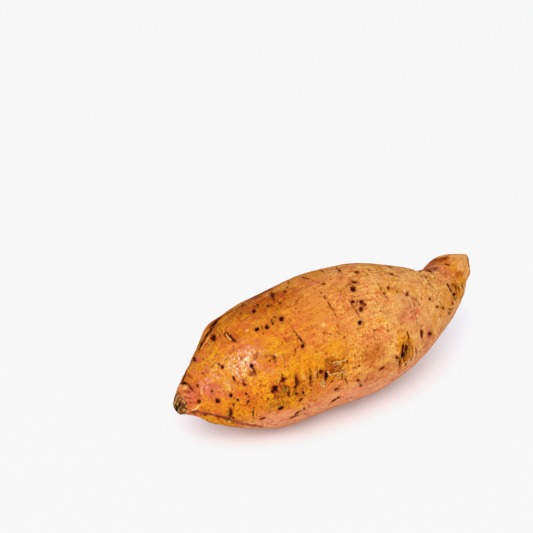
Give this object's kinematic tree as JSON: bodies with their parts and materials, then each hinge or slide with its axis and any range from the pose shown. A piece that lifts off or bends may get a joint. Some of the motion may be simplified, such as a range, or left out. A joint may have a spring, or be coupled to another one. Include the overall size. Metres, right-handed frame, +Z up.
{
  "type": "sweet potato",
  "caption": "Sweet potato: a plump, slightly bent spindle with a small round stem scar at one end and a narrow lifted tail, cut off, at the other.",
  "frame": {"origin": "middle of the bounding box's underside, at the height of the flat spot that it rests on", "axes": "+X from the stem scar to the tail, -Y to the front that the picture shows, +Z up"},
  "size_m": [0.176, 0.0654, 0.0626],
  "materials": {
    "sweet_potato_skin": "thin orange-brown skin, slightly waxy, with dark root scars"
  },
  "bodies": {
    "root": {"sweet_potato": "sweet_potato_skin"}
  },
  "joints": []
}
